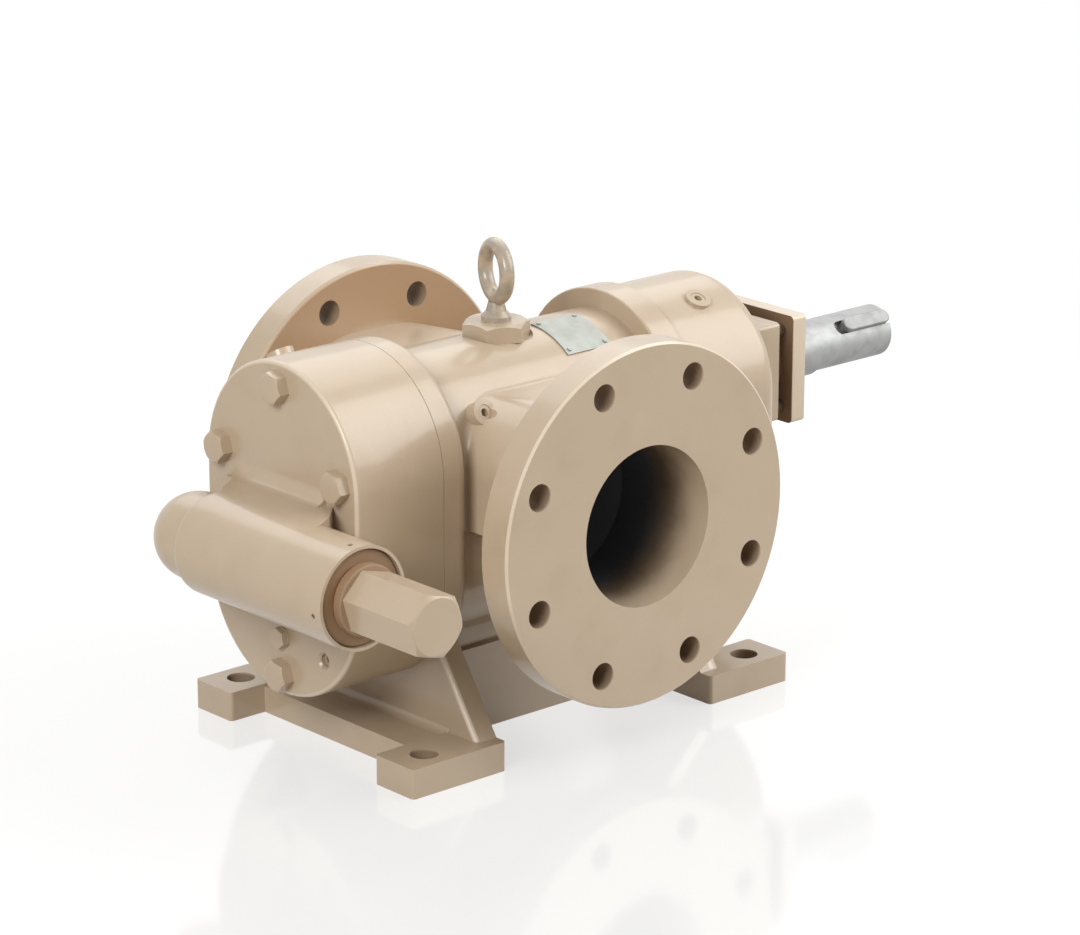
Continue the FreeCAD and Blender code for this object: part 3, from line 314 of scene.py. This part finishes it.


# %% [markdown]
# Sharp corners are painted paler, as a painted highlight: the turned corners of the flanges, the slanted edges of the
# webs, and the rim of the front cover. The backs of the flanges are painted browner and darker, as painted shade.

# %% Mask the backs and the corners
def back_shade_mask(finish, from_axis, depth):
    """Painted shade on the backs of the flanges, outside the necks."""
    plane = finish.rise(depth, FLANGE_BACK - 1.6 * MM, FLANGE_BACK - 1.2 * MM)
    plane = plane * finish.rise(depth, FLANGE_BACK + 0.8 * MM, FLANGE_BACK + 0.4 * MM)
    ring = finish.rise(from_axis, NECK_REACH - 10 * MM, NECK_REACH)
    return plane * ring * finish.rise(from_axis, FLANGE_RADIUS - 0.2 * MM, FLANGE_RADIUS - 1.2 * MM)


# These three masks carry painted highlights along sharp corners.
def flange_corner_mask(finish, from_axis, depth):
    rim = finish.rise(from_axis, FLANGE_RADIUS - 1.8 * MM, FLANGE_RADIUS - 1.2 * MM)
    return rim * finish.rise(depth, FLANGE_FACE - 1.8 * MM, FLANGE_FACE - 1.2 * MM)


def web_edge_mask(finish, x, depth, z):
    from_slant = (WEB_Y - (z - FOOT_TOP) * WEB_SLOPE - depth) * math.cos(math.atan(WEB_SLOPE))
    edge = finish.rise(abs(from_slant), 3.4 * MM, 2.0 * MM)
    edge = edge * finish.rise(abs(x), WEB_FACE - 3.4 * MM, WEB_FACE - 2.0 * MM)
    edge = edge * finish.rise(abs(x), WEB_FACE + 1.0 * MM, WEB_FACE + 0.6 * MM)
    return edge * finish.rise(z, FOOT_TOP, FOOT_TOP + 1.0 * MM)


def cover_corner_mask(finish, x, y, z):
    """The round corner of the front cover's face, which runs round both shafts."""
    beyond = (z - SHAFT_Z[1]).higher_of(SHAFT_Z[0] - z).higher_of(0.0)
    from_middle = distance(y, beyond)
    corner = finish.rise(from_middle, COVER_RADIUS - 2.8 * MM, COVER_RADIUS - 1.4 * MM)
    corner = corner * finish.rise(from_middle, COVER_RADIUS + 0.8 * MM, COVER_RADIUS + 0.4 * MM)
    corner = corner * finish.rise(x, 2.2 * MM - COVER_FACE, 1.0 * MM - COVER_FACE)
    return corner * finish.rise(x, -0.6 * MM - COVER_FACE, -0.3 * MM - COVER_FACE)


# %% [markdown]
# Now the colours go on in order, from the plain paint to the painted highlights on the corners. In the holes and
# deep in the bores the surface is dull and has no clear coat.

# %% Paint the casing and the covers
HOLE_PAINT = rgba(134, 113, 92)
# EDGE_PAINT is the painted highlight on sharp corners, and the pale share of the gland plate.
EDGE_PAINT = rgba(226, 213, 195)
# Painted shade on the backs of the flanges.
BACK_SHADE = rgba(166, 136, 105)
# Painted shade in the port bores, brown near the mouth and darker further in.
BORE_BROWN_SHADE = rgba(92, 74, 58)
BORE_DARK_SHADE = rgba(60, 64, 71)


def casing_finish():
    finish = Finish("paint_on_casing")
    colour, gloss, normal = paint_layers(finish, *CAST_GRAIN)
    x, y, z = finish.xyz()
    height, depth = z - PORT_Z, abs(y)
    from_axis = distance(x, height)
    brown_shade, dark = bore_masks(finish, from_axis, depth)
    hole_walls = hole_mask(finish, x, height, depth, z) * (0.75 + finish.noise(0.006, 3.0) * 0.25)
    corners = flange_corner_mask(finish, from_axis, depth) * 0.6
    corners = corners.higher_of(web_edge_mask(finish, x, depth, z) * 0.7)
    # The walls of the holes are painted darker.
    colour = finish.blend(hole_walls, colour, HOLE_PAINT)
    # Painted shade in the port bores.
    colour = finish.blend(brown_shade * 0.85, colour, BORE_BROWN_SHADE)
    colour = finish.blend(dark, colour, BORE_DARK_SHADE)
    # Painted shade on the flange backs.
    colour = finish.blend(back_shade_mask(finish, from_axis, depth) * 0.9, colour, BACK_SHADE)
    # Painted highlights on the flange corners and the web edges.
    colour = finish.blend(corners, colour, EDGE_PAINT)
    return close_paint(finish, colour, gloss, normal, bare=hole_walls.higher_of(dark))


def cover_finish():
    finish = Finish("paint_on_covers")
    colour, gloss, normal = paint_layers(finish, *CAST_GRAIN)
    # Painted highlight along the rim of the cover's face.
    corner = cover_corner_mask(finish, *finish.xyz())
    return close_paint(finish, finish.blend(corner * 0.5, colour, EDGE_PAINT), gloss, normal)


casing_paint = casing_finish()
casting_paint = cover_finish()

# %% [markdown]
# Two places are painted brown as painted shade: the recess round the relief valve's cap, and the narrow gap behind
# the gland plate. Both are places along one axis, so one function does both: it paints what lies beyond a limit. The
# rest of the gland plate is paler than the castings.

# %% Paint shade into the recess and the gland gap
RECESS_SHADE = rgba(138, 108, 80)
GAP_SHADE = rgba(112, 86, 62)
MACHINED_GRAIN = (0.0012, 0.00002)


def shaded_beyond(name, axis, plain_from, brown_from, shade=RECESS_SHADE, pale=0.0):
    """Paint that goes brown as painted shade between two places along an axis, and pale by a share outside the shade.
    """
    finish = Finish(name)
    colour, gloss, normal = paint_layers(finish, *MACHINED_GRAIN)
    along = finish.xyz()["xyz".index(axis)]
    # Painted shade beyond the limit.
    brown = finish.rise(along, plain_from, brown_from)
    if pale > 0.0:
        colour = finish.blend(finish.rise(along, brown_from, plain_from) * pale, colour, EDGE_PAINT)
    colour = finish.blend(brown * 0.9, colour, shade)
    return close_paint(finish, colour, gloss, normal, bare=brown)


# The recess round the relief valve's cap is painted brown as painted shade.
cap_paint = shaded_beyond("paint_on_cap", "y", *CAP_RECESS)
bonnet_paint = shaded_beyond("paint_on_bonnet", "y", *BONNET_RECESS)
# The gap behind the gland plate is painted brown as painted shade.
gland_paint = shaded_beyond("paint_on_gland", "x", GLAND_BACK + 1.0 * MM, GLAND_BACK + 0.2 * MM, GAP_SHADE, pale=0.5)

# %% [markdown]
# The shaft end is the only bright part. It is ground, so fine rings run round it, and it has been handled, so pale
# and dark patches lie over the rings. The rings come from a noise that is squeezed hard along the shaft, and the
# patches from a second, rounder one. Both go into the roughness; only a little goes into the colour.

# %% Finish the bare metals
def bare_metal(name, colour, patch_colour, rough, ring_axis=None, ring_size=0.0006):
    finish = Finish(name)
    patches = finish.rise(finish.noise(0.009, 2.0, 0.5), 0.35, 0.75)
    tint = finish.blend(patches * 0.4, colour, patch_colour)
    if ring_axis is None:
        lines = finish.noise(ring_size * 3, 2.0, 0.6)
    else:
        squeeze = [1.0 if axis == ring_axis else 0.02 for axis in "xyz"]
        lines = finish.noise(ring_size, 2.0, 0.6, stretch=squeeze)
    gloss = rough + patches * 0.08 + lines * 0.10
    normal = finish.bumps(lines, 0.000005)
    return finish.close({"Base Color": tint, "Metallic": 1.0, "Roughness": gloss, "Normal": normal})


shaft_steel = bare_metal("ground_shaft", rgba(162, 163, 162), rgba(138, 139, 138), 0.54, "x")
key_steel = bare_metal("drawn_key", rgba(146, 146, 145), rgba(134, 134, 133), 0.54)
gear_steel = bare_metal("oiled_gear", rgba(150, 150, 152), rgba(116, 114, 112), 0.25, "x")
machined_steel = bare_metal("machined_steel", rgba(176, 176, 174), rgba(140, 138, 134), 0.30, "y")
spring_steel = bare_metal("spring_wire", rgba(92, 94, 98), rgba(70, 70, 72), 0.38)
bronze = bare_metal("bearing_bronze", rgba(196, 148, 88), rgba(160, 112, 60), 0.32, "x")
plate_metal = bare_metal("plate_aluminium", rgba(168, 170, 164), rgba(158, 159, 151), 0.60, "x", 0.0004)


def dull(name, colour, dark_colour, rough, grain_size, grain_depth):
    """Plain finish with a grain, for browned screws or braided fibre."""
    finish = Finish(name)
    grain = finish.noise(grain_size, 3.0, 0.6)
    tint = finish.blend(grain, dark_colour, colour)
    return finish.close({"Base Color": tint, "Roughness": rough + grain * 0.15,
                         "Normal": finish.bumps(grain, grain_depth)})


screw_brown = dull("browned_screws", rgba(104, 86, 68), rgba(72, 58, 46), 0.45, 0.0012, 0.00001)
packing_fibre = dull("packing_fibre", rgba(58, 56, 54), rgba(28, 27, 27), 0.75, 0.0020, 0.0003)

# %% [markdown]
# Every CAD node gets one of these finishes. A table of finish and nodes is easy to check against the photograph, and
# a test that no node is left out costs one line.

# %% Give every CAD node its finish
finish_of = {
    casing_paint: ["pump_casing"],
    casting_paint: ["front_cover", "rear_cover", "front_gasket", "rear_gasket"],
    turned_paint: ["front_cover_bolts", "rear_cover_screws", "drain_plug", "jack_screw", "gauge_plug",
                   "vent_plug", "flush_plug", "lifting_plug"],
    eye_paint: ["eye_bolt"],
    cap_paint: ["relief_cap"],
    bonnet_paint: ["adjusting_bush"],
    gland_paint: ["gland_follower"],
    shaft_steel: ["drive_shaft", "driven_shaft"],
    key_steel: ["coupling_key", "drive_gear_key", "driven_gear_key"],
    gear_steel: ["drive_gear", "driven_gear"],
    machined_steel: ["valve_seat", "valve_poppet", "spring_seat", "adjusting_screw", "lock_nut", "dowel_pins"],
    spring_steel: ["relief_spring", "drive_circlips", "driven_circlips"],
    bronze: ["front_side_plate", "rear_side_plate", "front_drive_bush", "front_driven_bush", "rear_drive_bush",
             "rear_driven_bush", "lantern_ring", "cap_gasket"],
    screw_brown: ["gland_screws", "bonnet_lock_screws"],
    packing_fibre: ["gland_packing"],
    plate_metal: ["nameplate", "nameplate_pins"],
}
for material, names in finish_of.items():
    for name in names:
        nodes[name].data.materials.clear()
        nodes[name].data.materials.append(material)
finished = {name for names in finish_of.values() for name in names}
print("nodes without a finish:", sorted(set(nodes) - finished))

# %% [markdown]
# Two nodes give way on the real pump. The relief spring gets shorter from one end when the poppet lifts, and from the
# other when its seat is screwed in, so it is copied as two halves that meet in the middle, where it stands still. The
# gland presses the packing rings outside the lantern ring together; the one inside stays.

# %% Copy a stretch of a node
AXES = {"x": (1.0, 0.0, 0.0), "y": (0.0, 1.0, 0.0)}


def stretch(name, node, axis, low, high, slot, weld=0.0):
    """The part of a CAD node between two places along an axis, as a piece of its own."""
    piece = bpy.data.objects.new(name, nodes[node].data.copy())
    bpy.context.collection.objects.link(piece)
    mesh = bmesh.new()
    mesh.from_mesh(piece.data)
    if weld > 0.0:
        bmesh.ops.remove_doubles(mesh, verts=mesh.verts, dist=weld)
    for place, side in ((low, -1.0), (high, 1.0)):
        cut = bmesh.ops.bisect_plane(mesh, geom=mesh.verts[:] + mesh.edges[:] + mesh.faces[:], clear_outer=True,
                                     plane_co=Vector(AXES[axis]) * place, plane_no=Vector(AXES[axis]) * side)
        rim = [part for part in cut["geom_cut"] if isinstance(part, bmesh.types.BMEdge)]
        if rim:
            bmesh.ops.holes_fill(mesh, edges=rim, sides=0)
    mesh.to_mesh(piece.data)
    mesh.free()
    bpy.ops.object.select_all(action="DESELECT")
    piece.select_set(True)
    bpy.context.view_layer.objects.active = piece
    bpy.ops.object.shade_smooth_by_angle(angle=math.radians(40.0))
    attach(piece, "pump")
    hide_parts(node)
    return piece


# %% Split the spring and the packing
PAST_END = 1 * MM
IN_LANTERN = 6 * MM
ends = [corner.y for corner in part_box("relief_spring")]
still = sum(ends) / 2
for name, joint, low, high in (("spring_half_at_poppet", "relief_lift", still, ends[1] + PAST_END),
                               ("spring_half_at_seat", "disc_advance", ends[0] - PAST_END, still)):
    half = stretch(name, "relief_spring", "y", low, high, "spring_steel", weld=0.002 * MM)
    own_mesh(half)
inner_end, outer_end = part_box("lantern_ring")[1].x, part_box("gland_packing")[1].x
parting = inner_end - IN_LANTERN
stretch("packing_inside", "gland_packing", "x", 0.0, parting, "packing_fibre")
pressed = stretch("packing_outside", "gland_packing", "x", parting, outer_end + PAST_END, "packing_fibre")
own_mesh(pressed)

# %% [markdown]
# The pump stands on a white table that is polished enough to mirror the feet faintly, in a white room. What the
# camera and mirror rays see is white, while the light itself comes from soft lamps, as in a product studio, and from
# a dim, warm glow that walls and table throw back. A Light Path node tells the two kinds of ray apart. Near the pump
# the table keeps its soft shadow and its mirror image; further out it fades into plain white, so that no horizon
# shows.

# %% Build the room
def node_in(tree, kind, fed):
    """Adds a shader node and feeds its inputs with values or other nodes' outputs."""
    made = tree.nodes.new(kind)
    for key, value in fed.items():
        if isinstance(value, bpy.types.NodeSocket):
            tree.links.new(value, made.inputs[key])
        else:
            made.inputs[key].default_value = value
    return made


def seen_ray(tree):
    """1 for rays from the camera, from mirrors and through glass, 0 for the rays that carry light."""
    path = tree.nodes.new("ShaderNodeLightPath").outputs
    mirrored = node_in(tree, "ShaderNodeMath", {0: path["Is Glossy Ray"], 1: path["Is Transmission Ray"]})
    seen = node_in(tree, "ShaderNodeMath", {0: path["Is Camera Ray"], 1: mirrored.outputs[0]})
    mirrored.operation = seen.operation = "MAXIMUM"
    return seen.outputs[0]


WHITE = (1.0, 1.0, 1.0, 1.0)
WARM_GLOW = (1.0, 0.90, 0.77, 1.0)
room = bpy.data.worlds.new("white_room")
room.use_nodes = True
room.node_tree.nodes.clear()
tree = room.node_tree
lit = node_in(tree, "ShaderNodeBackground", {"Color": WARM_GLOW, "Strength": 0.25})
white = node_in(tree, "ShaderNodeBackground", {"Color": WHITE, "Strength": 1.0})
both = node_in(tree, "ShaderNodeMixShader", {0: seen_ray(tree), 1: lit.outputs[0], 2: white.outputs[0]})
node_in(tree, "ShaderNodeOutputWorld", {"Surface": both.outputs[0]})
bpy.context.scene.world = room
bpy.context.scene.view_settings.view_transform = "Standard"

# %% Lay the table
WARM_TOP = (0.48, 0.44, 0.37, 1.0)
GREY_VEIL = (0.20, 0.20, 0.20, 1.0)
FADE_FROM, FADE_TO = 0.45, 1.10
bpy.ops.mesh.primitive_plane_add(size=12.0, location=(0.0, 0.0, 0.0))
table = bpy.context.object
table.name = "white_table"
top = Finish("polished_table")
x, y, z = top.xyz()
far = top.rise(distance(x, y), FADE_FROM, FADE_TO)
polish = {"Roughness": 0.09, "Specular IOR Level": 0.5}
tree = top.tree
lacquer = top.node("ShaderNodeBsdfPrincipled", sockets={"Base Color": WARM_TOP, **polish})
veil = top.node("ShaderNodeBsdfPrincipled", sockets={"Base Color": GREY_VEIL, **polish})
lift = node_in(tree, "ShaderNodeEmission", {"Color": WHITE, "Strength": 0.66})
near = node_in(tree, "ShaderNodeAddShader", {0: veil.socket, 1: lift.outputs[0]})
plain = node_in(tree, "ShaderNodeEmission", {"Color": WHITE, "Strength": 1.0})
shown = node_in(tree, "ShaderNodeMixShader", {0: far.socket, 1: near.outputs[0], 2: plain.outputs[0]})
cover = node_in(tree, "ShaderNodeMixShader", {0: seen_ray(tree), 1: lacquer.socket, 2: shown.outputs[0]})
node_in(tree, "ShaderNodeOutputMaterial", {"Surface": cover.outputs[0]})
table.data.materials.append(top.material)


# %% [markdown]
# The photograph's brightest places tell where its lamps stood. The near flange is lit, and its shadow falls on the
# lower side of the front cover behind it, so the main lamp stands in front, on the right, well above the pump. A
# smaller lamp on the left keeps the relief valve and the cover's face as bright as the flange. A wide one behind the
# pump gives the tops of the covers and of the casing their sheen.

# %% Hang the lamps
def softbox(name, place, target, size, watts):
    """Square lamp at a place, facing a target, both in metres."""
    bpy.ops.object.light_add(type="AREA", location=place)
    lamp = bpy.context.object
    lamp.name = name
    lamp.rotation_euler = (Vector(target) - Vector(place)).to_track_quat("-Z", "Y").to_euler()
    lamp.data.shape = "SQUARE"
    lamp.data.size = size
    lamp.data.energy = watts
    return lamp


middle = (0.0, 0.0, 0.13)
softbox("lamp_main_right", (1.46, -1.20, 1.44), middle, size=1.9, watts=46.0)
softbox("lamp_left", (-2.00, -0.80, 1.40), middle, size=1.0, watts=43.0)
softbox("lamp_back", (0.6, 1.1, 1.85), middle, size=2.2, watts=23.0)
